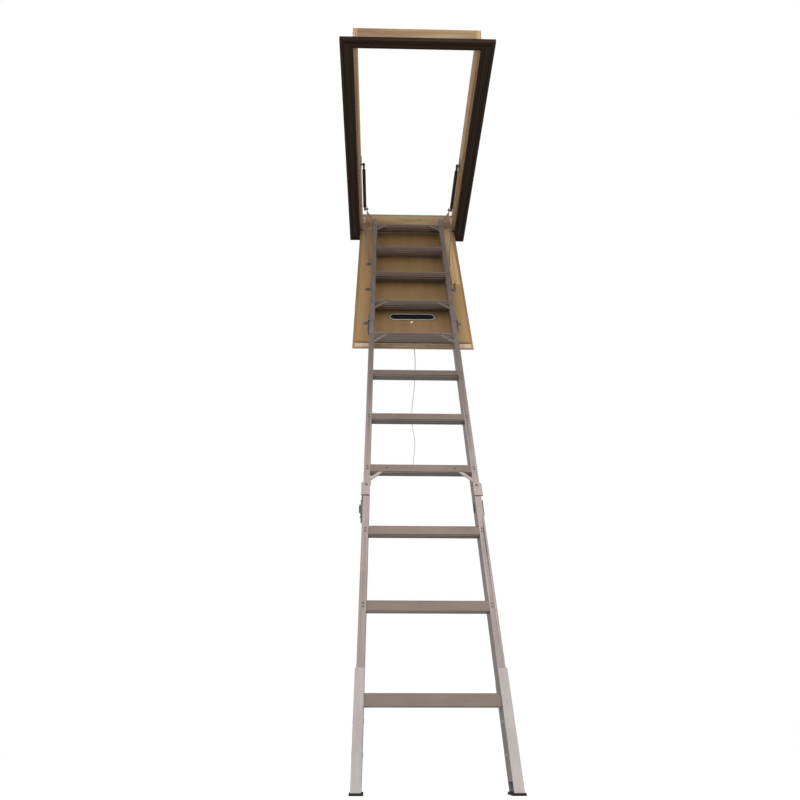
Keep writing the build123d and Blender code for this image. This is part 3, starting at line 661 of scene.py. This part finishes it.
def pull_cord():
    """The cord through its control points, from its hole under the door down to the knob."""
    route = (
        (0.0, 0.0, 0.0),
        (0.0, 0.0077, -0.00464),
        (0.0008, 0.0159, -0.0155),
        (0.0052, 0.0228, -0.0380),
        (0.0126, 0.0268, -0.0790),
        (0.0162, 0.0280, -0.1300),
        (0.0172, 0.0270, -0.1840),
        (0.0154, 0.0275, -0.2380),
        (0.0126, 0.0290, -0.2900),
        (0.0080, 0.0286, -0.3410),
        (0.0020, 0.0274, -0.3880),
        (-0.0006, 0.0280, -0.4330),
        (0.0006, 0.0290, -0.4780),
        (0.0072, 0.0284, -0.5200),
        (0.0134, 0.0274, -0.5620),
        (0.0114, 0.0280, -0.6050),
        (0.0056, 0.0286, -0.6420),
        (0.0056, 0.0286, -0.6720),
    )
    curve = bpy.data.curves.new("cord_line", "CURVE")
    curve.dimensions = "3D"
    curve.bevel_depth = 0.00175
    curve.bevel_resolution = 4
    curve.resolution_u = 10
    curve.use_fill_caps = True
    spline = curve.splines.new("NURBS")
    spline.points.add(len(route) - 1)
    for point, offset in zip(spline.points, route):
        point.co = (*(CORD_EXIT + Vector(offset)), 1.0)
    spline.order_u = 3
    spline.use_endpoint_u = True
    curve.materials.append(CORD)
    obj = bpy.data.objects.new("cord", curve)
    bpy.context.scene.collection.objects.link(obj)
    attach(obj, "pull_cord")
    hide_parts("pull_cord")
    bm = bmesh.new()
    end = CORD_EXIT + Vector(route[-1])
    lathe(bm, KNOB_OUTLINE, Matrix.Translation(end), 28)
    knob_piece = piece("cord_end_knob", mesh_of(bm, "cord_end_knob"), "pull_cord", KNOB)
    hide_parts("cord_knob")


def fold_covers():
    """A cover plate with a bolt on each rail's front above the lower fold, and a dark bar below it as
    painted shadow at the fold.
    """
    width = 29.0
    covers = [(on_face(s * RAIL_MIDDLE, 2353.5, 79.7), (width, 62, 1.4), 0.5) for s in SIDES]
    bars("lower_fold_covers", "middle_section", covers, COVER)
    bolts = [(on_ladder(s * 186.5, 2334, 80.3), UP) for s in SIDES]
    pan_heads("lower_fold_cover_bolts", "middle_section", bolts, 0.0048, DARK_ZINC)
    # Dark bars: painted shadow at the fold under each cover
    fold_shadows = [(on_face(s * RAIL_MIDDLE, 2386, 79.7), (width, 2.8, 1.2), 0.4) for s in SIDES]
    bars("lower_fold_shadows", "middle_section", fold_shadows, NAIL_AND_SHADOW)


def fold_catches():
    """Dark catches just below the lower fold, on the left side of each rail."""
    left_bar = (on_face(-207.2, 2405, 34), (5, 30, 12), 1.6)
    left_hook = (on_face(-207.2, 2419, 44), (5, 8, 22), 1.6)
    right_bar = (on_face(173.5, 2410, 46), (3.6, 30, 16), 1.2)
    catches = [left_bar, left_hook, right_bar]
    bars("lower_fold_catches", "lower_section", catches, DARK_ZINC)


blank_plate_rim()
door_strips()
step_beads()
step_underside_ribs()
bracket_screws()
upstand_caps()
lever_bolts()
fold_hinge_rivets()
frame_nails()
strut_bracket_screws()
strut_collars()
hinge_screws()
pull_cord()
fold_covers()
fold_catches()

# ---------------------------------------------------------------- studio


# Light from each height, from straight below (0) past the horizon (0.5) to straight above (1)
SKY = (
    (0.0, (0.62, 0.61, 0.60)),
    (0.48, (0.68, 0.67, 0.66)),
    (0.70, (0.80, 0.78, 0.76)),
    (0.93, (0.62, 0.58, 0.54)),
    (1.0, (0.22, 0.18, 0.15)),
)


def surround():
    """White behind the object; its light is dim and brown overhead and behind, and paler in front."""
    world = bpy.data.worlds.new("surround")
    world.use_nodes = True
    tree = world.node_tree
    link = tree.links.new
    white = tree.nodes["Background"]
    white.inputs["Color"].default_value = (1.0, 1.0, 1.0, 1.0)
    direction = tree.nodes.new("ShaderNodeTexCoord")
    split = tree.nodes.new("ShaderNodeSeparateXYZ")
    link(direction.outputs["Generated"], split.inputs[0])
    ramp = tree.nodes.new("ShaderNodeValToRGB")
    stops = ramp.color_ramp.elements
    while len(stops) < len(SKY):
        stops.new(0.5)
    for stop, (place, colour) in zip(stops, SKY):
        stop.position = place
        stop.color = (*colour, 1.0)
    halved = tree.nodes.new("ShaderNodeMapRange")
    halved.inputs["From Min"].default_value = -1.0
    link(split.outputs["Z"], halved.inputs["Value"])
    link(halved.outputs[0], ramp.inputs["Fac"])
    soft = tree.nodes.new("ShaderNodeBackground")
    link(ramp.outputs["Color"], soft.inputs["Color"])
    behind = tree.nodes.new("ShaderNodeMapRange")
    behind.inputs["From Min"].default_value = -1.0
    behind.inputs["To Min"].default_value = 1.35
    behind.inputs["To Max"].default_value = 0.5
    link(split.outputs["Y"], behind.inputs["Value"])
    link(behind.outputs[0], soft.inputs["Strength"])
    seen = tree.nodes.new("ShaderNodeLightPath")
    mix = tree.nodes.new("ShaderNodeMixShader")
    link(seen.outputs["Is Camera Ray"], mix.inputs[0])
    link(soft.outputs[0], mix.inputs[1])
    link(white.outputs[0], mix.inputs[2])
    link(mix.outputs[0], tree.nodes["World Output"].inputs["Surface"])
    bpy.context.scene.world = world


def studio():
    """A pale floor, two soft lights from the sides in front and two fainter ones above."""
    floor_mesh = bpy.data.meshes.new("floor")
    bm = bmesh.new()
    bmesh.ops.create_grid(bm, x_segments=1, y_segments=1, size=40.0)
    bm.to_mesh(floor_mesh)
    bm.free()
    floor = bpy.data.objects.new("floor", floor_mesh)
    bpy.context.scene.collection.objects.link(floor)
    paint = Graph("floor_paint")
    paint.set(Base_Color=(0.93, 0.93, 0.93), Roughness=0.9, Emission_Color=(1.0, 1.0, 1.0))
    paint.set(Emission_Strength=0.5)
    floor_mesh.materials.append(paint.material)
    floor.visible_diffuse = False
    floor.visible_glossy = False
    # Each lamp's name, place, aim, size, power and spread
    lamps = (
        ("overhead", (0.7, -2.1, 2.4), (0.0, -0.9, 0.4), 1.9, 5.0, 180),
        ("middle", (0.1, -1.0, 2.9), (0.0, -0.15, 1.2), 1.0, 1.3, 80),
        ("key", (-1.7, -3.6, 1.0), (0.0, -0.4, 0.8), 1.4, 34.0, 180),
        ("side", (2.4, -2.6, 1.2), (0.0, -0.2, 1.0), 1.4, 24.0, 180),
    )
    for name, place, aim, size, power, spread in lamps:
        lamp = bpy.data.lights.new(name, "AREA")
        lamp.shape = "SQUARE"
        lamp.size = size
        lamp.energy = power
        lamp.spread = math.radians(spread)
        obj = bpy.data.objects.new(name, lamp)
        bpy.context.scene.collection.objects.link(obj)
        obj.location = place
        obj.rotation_euler = (Vector(aim) - Vector(place)).to_track_quat("-Z", "Y").to_euler()
        obj.visible_camera = False
    bpy.context.scene.view_settings.view_transform = "Standard"


def camera():
    """Low, a little left of the ladder's middle, looking up into the hatch."""
    data = bpy.data.cameras.new("camera")
    data.sensor_width = 36.0
    data.lens = 35.9
    data.clip_start = 0.05
    data.clip_end = 100.0
    obj = bpy.data.objects.new("camera", data)
    bpy.context.scene.collection.objects.link(obj)
    obj.location = HINGE + Vector((-0.1358, -3.859, -2.788))
    obj.rotation_euler = Euler((math.radians(90 + 23.87), 0.0, math.radians(-1.39)))
    bpy.context.scene.camera = obj


surround()
studio()
camera()
bpy.context.view_layer.update()
